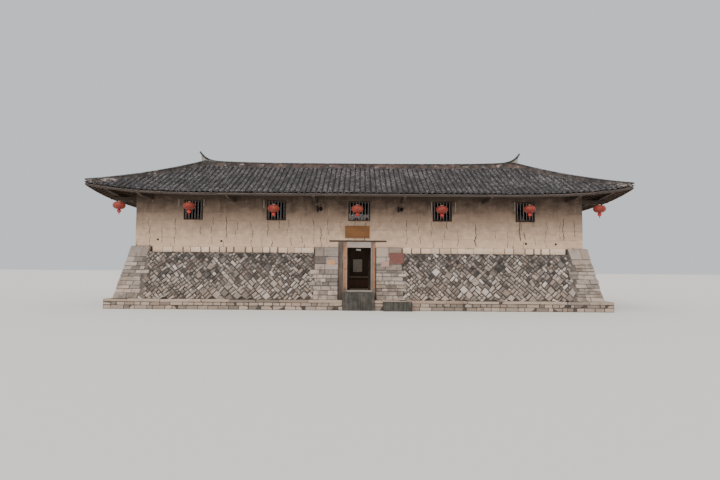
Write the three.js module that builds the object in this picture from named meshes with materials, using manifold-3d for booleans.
// A two-storey rammed-earth courtyard house: four ranges round an open court, a battered stone base,
// thick earth walls with barred windows, a two-leaved door, and a tiled roof with upturned corners.
// Millimetres, +Z up, the front faces -Y, and the origin is on the ground at the middle of the plan.
import * as THREE from "three";
import { mergeVertices } from "three/addons/utils/BufferGeometryUtils.js";
import Module from "manifold-3d";

const wasm = await Module();
wasm.setup();

// Driving dimensions of the plan, measured from the middle of the court.
const GAP = 0.3; // between two pieces that touch
const WALL_OUT = 10750; // outer face of the earth walls
const WALL_THICK = 800;
const WALL_IN = WALL_OUT - WALL_THICK;
const EAVE_REACH = 1590; // of the eaves beyond the wall
const EAVE = WALL_OUT + EAVE_REACH;
const ROOF_RUN = 4050; // from the outer eave in to the ridge
const RIDGE = EAVE - ROOF_RUN;
const POST_LINE = 5450; // of the posts round the court
const BAY = 2050; // half the middle bay of each range

// Heights above the ground.
const PLINTH_TOP = 450;
const PLINTH_OUT = WALL_OUT + 960;
const FLOOR_TOP = 800;
const COURT_TOP = 560;
const COURT_HALF = 4600;
const PANEL_TOP = 2650; // of the rubble
const QUOIN_TOP = 2930; // of the corner stones and the piers beside the door
const UPPER_FLOOR_TOP = 3350;
const UPPER_FLOOR_THICK = 79.7;
const JOIST_TOP = UPPER_FLOOR_TOP - UPPER_FLOOR_THICK;
const JOIST_DEEP = 200;
const TOP_BEAM_BOTTOM = 5380;
const POST_TOP = 5540;

// The stone base leans in by this much from its foot to its top.
const BATTER_FOOT = 660;
const BATTER_TOP = 120;

// The roof rises a little faster towards the ridge, and its corners sweep up.
const EAVE_Z = 5370;
const RIDGE_Z = 7320;
const EAVE_SLOPE = 0.43;
const ROOF_THICK = 184;
const SWEEP_LENGTH = 8000;
const SWEEP_RIDGE = 120;
const SWEEP_EAVE = 290;
const ROOF_ROWS = [0, 800, 1590, 2390, 3200, 4050, 5000, 6000, 7000, 8100];
const HALF_COLUMNS = [0.35, 0.6, 0.75, 0.85, 0.92, 0.97, 1];
const ROOF_COLUMNS = [...HALF_COLUMNS.map((f) => -f).reverse(), 0, ...HALF_COLUMNS];
const MITRE_TRIM = 0.25;
const ABOVE_ROOF = 5000;
const CAP_BURY = 400;

// The doorway, its frame and its two leaves, which swing inwards.
const DOOR_LEFT = -566;
const DOOR_RIGHT = 576;
const DOOR_HEAD = 2920;
const SILL_TOP = 880;
const FRAME_LEFT = -770;
const FRAME_RIGHT = 790;
const FRAME_TOP = 3200;
const FRAME_PROUD = 20;
const FRAME_BACK = 200;
const PIER_LEFT = [-2100, -1000];
const PIER_RIGHT = [840, 2040];
const PIVOT_DEPTH = 245; // behind the face of the wall
const PIVOT_LEFT = -600;
const PIVOT_RIGHT = 610;
const LEAF_THICK = 55;
const LEAF_TAIL = 22;
const LEAF_REACH = 602;
const LEAF_BOTTOM = 812;
const LEAF_TOP = 2955;
const LEAF_OPEN = THREE.MathUtils.degToRad(78);
const PIN_RADIUS = 20;
const PIN_TOP = 2985;
const SOCKET_RADIUS = 25;
const SOCKET_HALF = 40;
const SOCKET_Z = [2965, 3025];

// The steps before the door, and what is fixed to the wall beside and above it.
const STEP = { half: 720, front: 1100, high: 800 };
const SIDE_STEP = { x: [1120, 2420], front: 1310, high: 420 };
const JAMB_PLANK = { left: -1000, thick: 50 };
const LINTEL_POLE = { x: [-1430, 1320], top: 3270, thick: 35 };
const SIGNBOARD = { x: [-670, 505], z: [3390, 3960], thick: 50 };

// The windows of the upper storey.
const WINDOW_XS = [-8000, -4000, 0, 4000, 8000];
const WINDOW_Z = [4210, 5170];
const WINDOW_WIDE = 930;
const MIDDLE_WINDOW_WIDE = 1060;
const WINDOW_DEPTH = [30, 130];
const WINDOW_MEMBER = 60;
const WINDOW_SILL = 70;
const BAR = 36;

// The timber of the eaves and of the ranges.
const FASCIA = { out: [-30, -5], top: -90, bottom: -188 };
const EAVE_PURLIN = { run: [390, 510], deep: 120 };
const EAVE_PURLIN_RUN = 450;
const OUTRIGGER_XS = [-10000, -6000, -2070, 2070, 6000, 10000];
const OUTRIGGER = { wide: 110, deep: 200, tip: 115, taper: 400 };
const CORNER_BEAM = { wide: 130, deep: 160, tip: 60, tipRun: 300 };
const NOTCH = 2; // of a timber into the one that it carries
const POST_HALF = 100;
const BEAM_HALF = 70;
const JOIST_XS = [-9000, -7200, -5450, -3750, -2050, 0, 2050, 3750, 5450, 7200, 9000];
const RAILS = [[3420, 3470], [4180, 4240]];
const RAIL_HALF = 30;

// The screen that stands in the entrance hall, facing the door.
const SCREEN = { half: 1100, thick: 50, post: 100 };

// The caps on the ridges and hips, and the swallow tails at the ends of the two main ridges.
const RIDGE_CAP = { half: 130, high: 190 };
const HIP_CAP = { half: 100, high: 150, steps: 12 };
const TAIL = { start: 7150, foot: 8370, tip: 8500, tipZ: 8085, rise: 585, fall: 300, half: 45, steps: 10 };

// The lanterns under the front eaves, each at its place along the front and its own height.
const LANTERNS = [
  [-11040, 4740], [-7820, 4740], [-3935, 4654], [-90, 4654], [3800, 4654], [7830, 4710], [11040, 4740],
];
const LANTERN_RADIUS = 278;
const LANTERN_HALF = 160;
const LANTERN_SIDES = 12;
const LANTERN_TURNS = 6;
const LANTERN_HEAD = [[0, 1500], [5, 1500], [5, 190], [55, 185], [60, 152]];
const LANTERN_FOOT = [
  [60, -152], [40, -158], [70, -180], [92, -240], [66, -305], [22, -332], [22, -420], [0, -420],
];

// Profile of a roof slope at a distance in from the outer eave, and the sweep of its corners.
const ROOF_CURVE = (RIDGE_Z - EAVE_Z - EAVE_SLOPE * ROOF_RUN) / ROOF_RUN ** 2;

function roofTop(run, x) {
  const climb = Math.max(0, run > ROOF_RUN ? 2 * ROOF_RUN - run : run);
  const profile = EAVE_Z + EAVE_SLOPE * climb + ROOF_CURVE * climb ** 2;
  const outerLift = SWEEP_RIDGE + SWEEP_EAVE * (1 - climb / ROOF_RUN) ** 2;
  const innerLift = SWEEP_RIDGE * (climb / ROOF_RUN) ** 2;
  const fromHip = Math.max(0, EAVE - run - Math.abs(x));
  const fade = Math.max(0, 1 - fromHip / SWEEP_LENGTH) ** 4;
  return profile + (run > ROOF_RUN ? innerLift : outerLift) * fade;
}

function baseOut(z) {
  const share = (QUOIN_TOP - z) / (QUOIN_TOP - PLINTH_TOP);
  return WALL_OUT + BATTER_TOP + (BATTER_FOOT - BATTER_TOP) * share;
}

// Closed solids of geometries, which are joined and cut as solids.
function solid(shape) {
  if (shape instanceof wasm.Manifold) return shape;
  const bare = shape.clone();
  bare.deleteAttribute("normal");
  bare.deleteAttribute("uv");
  const merged = mergeVertices(bare, 1e-3);
  return new wasm.Manifold(new wasm.Mesh({
    numProp: 3,
    vertProperties: new Float32Array(merged.attributes.position.array),
    triVerts: new Uint32Array(merged.index.array),
  }));
}

const join = (...shapes) => shapes.map(solid).reduce((a, b) => a.add(b));
const cut = (whole, ...tools) => tools.map(solid).reduce((a, b) => a.subtract(b), solid(whole));

function geometryOf(shape) {
  if (shape instanceof THREE.BufferGeometry) return shape;
  const { vertProperties, triVerts } = shape.getMesh();
  const geometry = new THREE.BufferGeometry();
  geometry.setAttribute("position", new THREE.BufferAttribute(vertProperties, 3));
  geometry.setIndex(new THREE.BufferAttribute(triVerts, 1));
  geometry.computeVertexNormals();
  return geometry;
}

function box([x0, x1], [y0, y1], [z0, z1]) {
  const geometry = new THREE.BoxGeometry(x1 - x0, y1 - y0, z1 - z0);
  return geometry.translate((x0 + x1) / 2, (y0 + y1) / 2, (z0 + z1) / 2);
}

const aroundAt = (at, half) => [at - half, at + half];
const outline = (points) => new THREE.Shape(points.map(([a, b]) => new THREE.Vector2(a, b)));

// An outline of x and z, extruded along y.
function alongY(shape, [y0, y1]) {
  const turn = new THREE.Matrix4().makeBasis(
    new THREE.Vector3(1, 0, 0), new THREE.Vector3(0, 0, 1), new THREE.Vector3(0, -1, 0));
  const geometry = new THREE.ExtrudeGeometry(shape, { depth: y1 - y0, bevelEnabled: false });
  return geometry.applyMatrix4(turn).translate(0, y1, 0);
}

// An outline of y and z, extruded along x.
function alongX(shape, [x0, x1]) {
  const turn = new THREE.Matrix4().makeBasis(
    new THREE.Vector3(0, 1, 0), new THREE.Vector3(0, 0, 1), new THREE.Vector3(1, 0, 0));
  const geometry = new THREE.ExtrudeGeometry(shape, { depth: x1 - x0, bevelEnabled: false });
  return geometry.applyMatrix4(turn).translate(x0, 0, 0);
}

// A closed slab between a lower and an upper grid: point(row, column, upper) gives x, y and z.
function slab(rows, columns, point) {
  const positions = [];
  for (const upper of [false, true]) {
    for (let row = 0; row < rows; row++) {
      for (let column = 0; column < columns; column++) positions.push(...point(row, column, upper));
    }
  }
  const low = (row, column) => row * columns + column;
  const high = (row, column) => rows * columns + low(row, column);
  const faces = [];
  const quad = (a, b, c, d) => faces.push(a, b, c, a, c, d);
  for (let row = 0; row + 1 < rows; row++) {
    for (let column = 0; column + 1 < columns; column++) {
      const corners = [[row, column], [row, column + 1], [row + 1, column + 1], [row + 1, column]];
      quad(...corners.map((corner) => high(...corner)));
      const [a, b, c, d] = corners.map((corner) => low(...corner));
      faces.push(a, c, b, a, d, c);
    }
  }
  const edge = [];
  for (let column = 0; column < columns; column++) edge.push([0, column]);
  for (let row = 1; row < rows; row++) edge.push([row, columns - 1]);
  for (let column = columns - 2; column >= 0; column--) edge.push([rows - 1, column]);
  for (let row = rows - 2; row > 0; row--) edge.push([row, 0]);
  edge.forEach((here, place) => {
    const next = edge[(place + 1) % edge.length];
    quad(low(...here), low(...next), high(...next), high(...here));
  });
  const geometry = new THREE.BufferGeometry();
  geometry.setAttribute("position", new THREE.BufferAttribute(new Float32Array(positions), 3));
  geometry.setIndex(faces);
  return geometry;
}

const quarterTurns = (geometry) => [0, 1, 2, 3].map((k) => geometry.clone().rotateZ(k * Math.PI / 2));

// One wing of the roof, between the mitres at its two ends.
function roofWing({ above, below, trim = 0, lead = 0 }) {
  return slab(ROOF_ROWS.length, ROOF_COLUMNS.length, (row, column, upper) => {
    const run = ROOF_ROWS[row] - (row === 0 ? lead : 0);
    const x = ROOF_COLUMNS[column] * (EAVE - run - trim);
    return [x, run - EAVE, roofTop(run, x) + (upper ? above : below)];
  });
}

const underRoof = join(...quarterTurns(roofWing({ above: ABOVE_ROOF, below: -ROOF_THICK - GAP, lead: GAP })));
const overRoof = join(...quarterTurns(roofWing({ above: GAP, below: -CAP_BURY, lead: GAP })));

// Strips along the front eave that follow the sweep of its corners.
function eaveStrip([run0, run1], topAt, bottomAt) {
  return slab(2, ROOF_COLUMNS.length, (row, column, upper) => {
    const run = row ? run1 : run0;
    const x = ROOF_COLUMNS[column] * (EAVE - run - MITRE_TRIM);
    return [x, run - EAVE, upper ? topAt(x) : bottomAt(x)];
  });
}

const onEave = (x) => roofTop(0, Math.sign(x) * Math.min(Math.abs(x), EAVE));
const purlinBottom = (x) => roofTop(EAVE_PURLIN_RUN, x) - ROOF_THICK - EAVE_PURLIN.deep;

const materials = {
  stone: new THREE.MeshStandardMaterial({ color: 0x8f8678, roughness: 0.95 }),
  dressed: new THREE.MeshStandardMaterial({ color: 0xa79f91, roughness: 0.9 }),
  cement: new THREE.MeshStandardMaterial({ color: 0x6c6c64, roughness: 0.9 }),
  earth: new THREE.MeshStandardMaterial({ color: 0xb5a389, roughness: 1 }),
  tile: new THREE.MeshStandardMaterial({ color: 0x4b4645, roughness: 0.9 }),
  mortar: new THREE.MeshStandardMaterial({ color: 0x5d5956, roughness: 0.95 }),
  timber: new THREE.MeshStandardMaterial({ color: 0x5a4634, roughness: 0.85 }),
  weathered: new THREE.MeshStandardMaterial({ color: 0x8b8073, roughness: 0.9 }),
  board: new THREE.MeshStandardMaterial({ color: 0x9c6a3c, roughness: 0.7 }),
  lantern: new THREE.MeshStandardMaterial({ color: 0xc8391f, roughness: 0.7 }),
};

function piece(name, shape, material) {
  const mesh = new THREE.Mesh(geometryOf(shape), material);
  mesh.name = name;
  return mesh;
}

// The stone base.
function plinth() {
  const ring = box([-PLINTH_OUT, PLINTH_OUT], [-PLINTH_OUT, PLINTH_OUT], [0, PLINTH_TOP]);
  const inside = box([-WALL_IN, WALL_IN], [-WALL_IN, WALL_IN], [-1, PLINTH_TOP + 1]);
  const stepPlace = box(aroundAt(0, STEP.half + GAP), [-PLINTH_OUT - 1, -WALL_OUT], [-1, PLINTH_TOP + 1]);
  return cut(ring, inside, stepPlace);
}

const battered = (top) => outline([
  [-baseOut(PLINTH_TOP + GAP), PLINTH_TOP + GAP], [-WALL_IN, PLINTH_TOP + GAP],
  [-WALL_IN, top], [-baseOut(top), top],
]);

function quoin() {
  const reach = [-PLINTH_OUT, -WALL_IN];
  return solid(alongX(battered(QUOIN_TOP), reach)).intersect(solid(alongY(battered(QUOIN_TOP), reach)));
}

const rubblePanel = (x0, x1) => alongX(battered(PANEL_TOP), [x0, x1]);

function portalPier([x0, x1], reveal) {
  const inner = x0 < 0 ? [x1 - 1, reveal] : [reveal, x0 + 1];
  return join(
    alongX(battered(QUOIN_TOP), [x0, x1]),
    box(inner, [-WALL_OUT, -WALL_IN], [PLINTH_TOP + GAP, QUOIN_TOP]),
  );
}

// The earth walls.
const windowWidth = (x, hasMiddle) => (x === 0 && hasMiddle ? MIDDLE_WINDOW_WIDE : WINDOW_WIDE);

function windowHoles(hasMiddle) {
  return WINDOW_XS.map((x) => {
    const half = windowWidth(x, hasMiddle) / 2;
    return box([x - half, x + half], [-WALL_OUT - 1, -WALL_IN + 1], WINDOW_Z);
  });
}

function longWall({ hasDoor }) {
  const through = [-WALL_OUT - 1, -WALL_IN + 1];
  const below = (top) => [PANEL_TOP, top + GAP];
  const wall = box([-WALL_OUT, WALL_OUT], [-WALL_OUT, -WALL_IN], [PANEL_TOP + GAP, RIDGE_Z]);
  const cuts = [
    box([-WALL_OUT - 1, GAP - WALL_IN], through, below(QUOIN_TOP)),
    box([WALL_IN - GAP, WALL_OUT + 1], through, below(QUOIN_TOP)),
    ...windowHoles(hasDoor),
  ];
  if (hasDoor) {
    cuts.push(box([PIER_LEFT[0] - GAP, PIER_RIGHT[1] + GAP], through, below(QUOIN_TOP)));
    cuts.push(box([FRAME_LEFT - GAP, FRAME_RIGHT + GAP], through, below(FRAME_TOP)));
  }
  return cut(wall, ...cuts, underRoof);
}

function shortWall() {
  const half = WALL_IN - GAP;
  const wall = box([-half, half], [-WALL_OUT, -WALL_IN], [PANEL_TOP + GAP, RIDGE_Z]);
  return cut(wall, ...windowHoles(false), underRoof);
}

function barredWindow(x) {
  const half = windowWidth(x, true) / 2 - GAP;
  const z = [WINDOW_Z[0] + GAP, WINDOW_Z[1] - GAP];
  const depth = WINDOW_DEPTH.map((d) => d - WALL_OUT);
  const inner = [WINDOW_MEMBER - half, half - WINDOW_MEMBER];
  const frame = cut(
    box([-half, half], depth, z),
    box(inner, [depth[0] - 1, depth[1] + 1], [z[0] + WINDOW_SILL, z[1] - WINDOW_MEMBER]),
  );
  const count = x === 0 ? 7 : 6;
  const pitch = (inner[1] - inner[0]) / (count + 1);
  const middle = (depth[0] + depth[1]) / 2;
  const bars = Array.from({ length: count }, (_, i) => {
    const at = inner[0] + pitch * (i + 1);
    return box([at - BAR / 2, at + BAR / 2], [middle - BAR / 2, middle + BAR / 2],
      [z[0] + WINDOW_SILL - 1, z[1] - WINDOW_MEMBER + 1]);
  });
  return geometryOf(join(frame, ...bars)).translate(x, 0, 0);
}

// The doorway.
const behindFace = (near, far) => [near - WALL_OUT, far - WALL_OUT];
const onWall = (thick) => [-WALL_OUT - GAP - thick, -WALL_OUT - GAP];

function socket(x) {
  const plate = box(aroundAt(x, SOCKET_HALF),
    behindFace(FRAME_BACK - 1, PIVOT_DEPTH + SOCKET_HALF), SOCKET_Z);
  const hole = new THREE.CylinderGeometry(SOCKET_RADIUS, SOCKET_RADIUS, 400, 12).rotateX(Math.PI / 2);
  return cut(plate, hole.translate(x, PIVOT_DEPTH - WALL_OUT, SOCKET_Z[0]));
}

function doorFrame() {
  const depth = behindFace(-FRAME_PROUD, FRAME_BACK);
  return join(
    box([FRAME_LEFT, DOOR_LEFT], depth, [PLINTH_TOP + GAP, FRAME_TOP]),
    box([DOOR_RIGHT, FRAME_RIGHT], depth, [PLINTH_TOP + GAP, FRAME_TOP]),
    box([DOOR_LEFT - 1, DOOR_RIGHT + 1], depth, [DOOR_HEAD, FRAME_TOP]),
    socket(PIVOT_LEFT),
    socket(PIVOT_RIGHT),
  );
}

function threshold() {
  return join(
    box([DOOR_LEFT + GAP, DOOR_RIGHT - GAP], behindFace(-FRAME_PROUD, FRAME_BACK + GAP + 1),
      [PLINTH_TOP + GAP, SILL_TOP]),
    box([FRAME_LEFT + GAP, FRAME_RIGHT - GAP], behindFace(FRAME_BACK + GAP, WALL_THICK - GAP),
      [PLINTH_TOP + GAP, FLOOR_TOP]),
  );
}

// A leaf about its own pivot, reaching towards +x when side is 1 and towards -x when it is -1.
function doorLeaf(side) {
  const reach = [-LEAF_TAIL * side, LEAF_REACH * side].sort((a, b) => a - b);
  const pin = (z0, z1) => new THREE.CylinderGeometry(PIN_RADIUS, PIN_RADIUS, z1 - z0, 12)
    .rotateX(Math.PI / 2).translate(0, 0, (z0 + z1) / 2);
  return join(
    box(reach, [-LEAF_THICK / 2, LEAF_THICK / 2], [LEAF_BOTTOM, LEAF_TOP]),
    pin(FLOOR_TOP + GAP, LEAF_BOTTOM + 1),
    pin(LEAF_TOP - 1, PIN_TOP),
  );
}

// A copy at the other end of the front.
const mirrored = (geometry) => geometry.clone().rotateZ(Math.PI / 2);

// The two beams along the diagonals of the plan, which thin out towards the corners of the eaves.
function cornerBeams(grow) {
  const top = purlinBottom(EAVE - EAVE_PURLIN_RUN) + NOTCH;
  const near = WALL_IN * Math.SQRT2 - grow;
  const far = (EAVE - CORNER_BEAM.tipRun) * Math.SQRT2 + grow;
  const half = CORNER_BEAM.wide / 2 + grow;
  const beam = alongY(outline([
    [near, top - CORNER_BEAM.deep - grow], [far, top - CORNER_BEAM.tip - grow],
    [far, top + grow], [near, top + grow],
  ]), [-half, half]).rotateZ((5 * Math.PI) / 4);
  return [beam, mirrored(beam)];
}

// A beam out from the wall under the purlin to the back of the fascia, where it thins out.
function outrigger(x) {
  const top = purlinBottom(x) + NOTCH;
  const tip = FASCIA.out[0] - EAVE;
  const foot = -WALL_OUT - GAP;
  return alongX(outline([
    [tip, top - OUTRIGGER.tip], [tip + OUTRIGGER.taper, top - OUTRIGGER.deep],
    [foot, top - OUTRIGGER.deep], [foot, top], [tip, top],
  ]), aroundAt(x, OUTRIGGER.wide / 2));
}

const wallBlock = box([-WALL_OUT - GAP, WALL_OUT + GAP], [-WALL_OUT - GAP, WALL_OUT + GAP], [0, RIDGE_Z]);

// The timber under the outer eaves of one range.
function eavesFrame(isLong) {
  const fascia = eaveStrip(FASCIA.out, (x) => onEave(x) + FASCIA.top, (x) => onEave(x) + FASCIA.bottom);
  const purlin = eaveStrip(EAVE_PURLIN.run, (x) => purlinBottom(x) + ROOF_THICK, purlinBottom);
  const straight = join(fascia, purlin, ...OUTRIGGER_XS.map(outrigger));
  const whole = isLong ? join(straight, ...cornerBeams(0)) : cut(straight, ...cornerBeams(GAP));
  return cut(whole, underRoof, wallBlock);
}

// The posts of one range, with the beams that they carry and the rails of its gallery.
function galleryFrame(isLong) {
  const reach = POST_LINE + (isLong ? POST_HALF : -POST_HALF - GAP);
  const postXs = isLong ? [-POST_LINE, -BAY, BAY, POST_LINE] : [-BAY, BAY];
  const line = (half) => aroundAt(-POST_LINE, half);
  const parts = [
    box([-reach, reach], line(POST_HALF), [JOIST_TOP - JOIST_DEEP, UPPER_FLOOR_TOP]),
    box([-reach, reach], line(BEAM_HALF), [TOP_BEAM_BOTTOM, RIDGE_Z]),
    ...postXs.map((x) => box(aroundAt(x, POST_HALF), line(POST_HALF), [FLOOR_TOP + GAP, POST_TOP])),
    ...RAILS.map((z) => box([-reach, reach], line(RAIL_HALF), z)),
  ];
  return cut(join(...parts), underRoof);
}

// The screen and the posts at its two ends.
function hallScreen() {
  const z = [FLOOR_TOP + GAP, JOIST_TOP - JOIST_DEEP - GAP];
  const y = (thick) => aroundAt(-POST_LINE, thick / 2);
  return join(
    box(aroundAt(0, SCREEN.half), y(SCREEN.thick), z),
    box([-SCREEN.half - SCREEN.post, -SCREEN.half + 1], y(SCREEN.post), z),
    box([SCREEN.half - 1, SCREEN.half + SCREEN.post], y(SCREEN.post), z),
  );
}

// The caps of one ridge, and on a main range its hips and tails too.
function ridgeCap(reach) {
  const y = aroundAt(-RIDGE, RIDGE_CAP.half);
  return slab(2, ROOF_COLUMNS.length, (row, column, upper) => {
    const x = ROOF_COLUMNS[column] * reach;
    return [x, y[row], roofTop(ROOF_RUN, x) + (upper ? RIDGE_CAP.high : -RIDGE_CAP.half)];
  });
}

function hipCap() {
  const side = HIP_CAP.half / Math.SQRT2;
  return slab(2, HIP_CAP.steps + 1, (row, column, upper) => {
    const along = EAVE - (ROOF_RUN * column) / HIP_CAP.steps;
    const offset = row ? side : -side;
    const top = roofTop(EAVE - along, along) + HIP_CAP.high;
    return [-along - offset, -along + offset, upper ? top : top - 2 * HIP_CAP.high];
  });
}

function swallowTail() {
  const low = RIDGE_Z - RIDGE_CAP.half / 2;
  const shoulder = TAIL.tipZ - TAIL.rise;
  const points = [[-TAIL.foot, shoulder], [-TAIL.foot, low], [-TAIL.start, low]];
  for (let i = TAIL.steps; i >= 0; i--) {
    const away = (TAIL.tip - TAIL.start) * (i / TAIL.steps) ** 2;
    points.push([away - TAIL.tip, shoulder + TAIL.rise * Math.exp(-away / TAIL.fall)]);
  }
  return alongY(outline(points), aroundAt(-RIDGE, TAIL.half));
}

function mainRidge() {
  const hip = hipCap();
  const tail = swallowTail();
  const farTail = tail.clone().translate(0, RIDGE, 0).rotateZ(Math.PI).translate(0, -RIDGE, 0);
  const caps = join(ridgeCap(RIDGE), hip, mirrored(hip), tail, farTail);
  return cut(caps.intersect(solid(box([-EAVE, EAVE], [-EAVE, EAVE], [0, TAIL.tipZ]))), overRoof);
}

const sideRidge = () => cut(ridgeCap(RIDGE - RIDGE_CAP.half - GAP), overRoof);

// A lantern hung from the eave purlin: wire, cap, flattened globe, ball and tassel.
function lantern([x, z]) {
  const points = [...LANTERN_HEAD];
  for (let i = 1; i < LANTERN_TURNS; i++) {
    const angle = Math.PI * (0.5 - i / LANTERN_TURNS);
    points.push([LANTERN_RADIUS * Math.cos(angle) ** 0.6, LANTERN_HALF * Math.sin(angle)]);
  }
  points.push(...LANTERN_FOOT);
  const profile = points.map(([r, h]) => new THREE.Vector2(r, h)).reverse();
  const body = new THREE.LatheGeometry(profile, LANTERN_SIDES).rotateX(Math.PI / 2);
  const hung = body.translate(x, EAVE_PURLIN_RUN - EAVE, z);
  const aboveWire = eaveStrip(
    EAVE_PURLIN.run,
    (at) => purlinBottom(at) + ABOVE_ROOF,
    (at) => purlinBottom(at) - GAP,
  );
  return cut(hung, aboveWire);
}

// Floors.
function groundFloor() {
  const half = WALL_IN - GAP;
  return cut(
    box([-half, half], [-half, half], [0, FLOOR_TOP]),
    box([-COURT_HALF, COURT_HALF], [-COURT_HALF, COURT_HALF], [COURT_TOP, FLOOR_TOP + 1]),
  );
}

// The upper floor: one ring of boards on joists, with a trimmer along each end of the two main ranges.
function upperFloor() {
  const outer = WALL_IN - GAP;
  const inner = POST_LINE + POST_HALF + GAP;
  const z = [UPPER_FLOOR_TOP - UPPER_FLOOR_THICK, UPPER_FLOOR_TOP];
  const under = [JOIST_TOP - JOIST_DEEP, z[0] + 1];
  const boards = cut(
    box([-outer, outer], [-outer, outer], z),
    box([-inner, inner], [-inner, inner], [z[0] - 1, z[1] + 1]),
  );
  const joist = (x) => box(aroundAt(x, BEAM_HALF), [-outer, -inner], under);
  const trimmer = box([inner, outer], aroundAt(-POST_LINE, BEAM_HALF), under);
  const farTrimmer = trimmer.clone().translate(-inner - outer, 0, 0);
  const members = [];
  for (const turn of [0, 1, 2, 3]) {
    const isLong = turn % 2 === 0;
    const row = JOIST_XS.filter((x) => isLong || Math.abs(x) < POST_LINE).map(joist);
    if (isLong) row.push(trimmer, farTrimmer);
    members.push(...row.map((member) => member.clone().rotateZ((turn * Math.PI) / 2)));
  }
  return join(boards, ...members);
}

// The house, range by range: each range is built as the front one is and turned to its side.
const house = new THREE.Group();
const ranges = ["front", "right", "back", "left"].map((side, turn) => {
  const range = new THREE.Group();
  range.rotation.z = (turn * Math.PI) / 2;
  house.add(range);
  return { side, range, isLong: side === "front" || side === "back" };
});

const corners = ["front_left", "front_right", "back_right", "back_left"];
ranges.forEach(({ side, range, isLong }, turn) => {
  const wing = roofWing({ above: 0, below: -ROOF_THICK, trim: MITRE_TRIM });
  const wall = isLong ? longWall({ hasDoor: side === "front" }) : shortWall();
  range.add(
    piece("quoin_" + corners[turn], quoin(), materials.dressed),
    piece("earth_wall_" + side, wall, materials.earth),
    piece("roof_" + side, wing, materials.tile),
    piece("ridge_" + side, isLong ? mainRidge() : sideRidge(), materials.mortar),
    piece("eaves_frame_" + side, eavesFrame(isLong), materials.weathered),
    piece("gallery_frame_" + side, galleryFrame(isLong), materials.timber),
  );
  if (side !== "front") {
    range.add(piece("rubble_panel_" + side, rubblePanel(GAP - WALL_IN, WALL_IN - GAP), materials.stone));
  }
});

house.add(
  piece("plinth_kerb", plinth(), materials.dressed),
  piece("rubble_panel_front_left", rubblePanel(GAP - WALL_IN, PIER_LEFT[0] - GAP), materials.stone),
  piece("rubble_panel_front_right", rubblePanel(PIER_RIGHT[1] + GAP, WALL_IN - GAP), materials.stone),
  piece("portal_pier_left", portalPier(PIER_LEFT, FRAME_LEFT - GAP), materials.dressed),
  piece("portal_pier_right", portalPier(PIER_RIGHT, FRAME_RIGHT + GAP), materials.dressed),
  piece("door_frame", doorFrame(), materials.weathered),
  piece("door_threshold", threshold(), materials.dressed),
  piece("jamb_plank", box([JAMB_PLANK.left + GAP, FRAME_LEFT - GAP], onWall(JAMB_PLANK.thick),
    [PLINTH_TOP + GAP, FRAME_TOP]), materials.timber),
  piece("lintel_pole", box(LINTEL_POLE.x, onWall(LINTEL_POLE.thick), [FRAME_TOP + GAP, LINTEL_POLE.top]),
    materials.timber),
  piece("signboard", box(SIGNBOARD.x, onWall(SIGNBOARD.thick), SIGNBOARD.z), materials.board),
  piece("entrance_step", box([-STEP.half, STEP.half],
    [-WALL_OUT - STEP.front, -WALL_OUT - FRAME_PROUD - GAP], [0, STEP.high]), materials.cement),
  piece("side_step", box(SIDE_STEP.x, [-WALL_OUT - SIDE_STEP.front, -PLINTH_OUT - GAP],
    [0, SIDE_STEP.high]), materials.cement),
  piece("ground_floor", groundFloor(), materials.cement),
  piece("upper_floor", upperFloor(), materials.timber),
  piece("hall_screen", hallScreen(), materials.timber),
);

WINDOW_XS.forEach((x, i) => {
  house.add(piece("window_front_" + (i + 1), barredWindow(x), materials.weathered));
});
LANTERNS.forEach((place, i) => {
  house.add(piece("lantern_" + (i + 1), lantern(place), materials.lantern));
});

// The two leaves, each standing open on its own pivot.
[["door_leaf_left", PIVOT_LEFT, 1], ["door_leaf_right", PIVOT_RIGHT, -1]].forEach(([name, x, side]) => {
  const leaf = piece(name, doorLeaf(side), materials.timber);
  leaf.position.set(x, PIVOT_DEPTH - WALL_OUT, 0);
  leaf.rotation.z = side * LEAF_OPEN;
  house.add(leaf);
});

export default house;
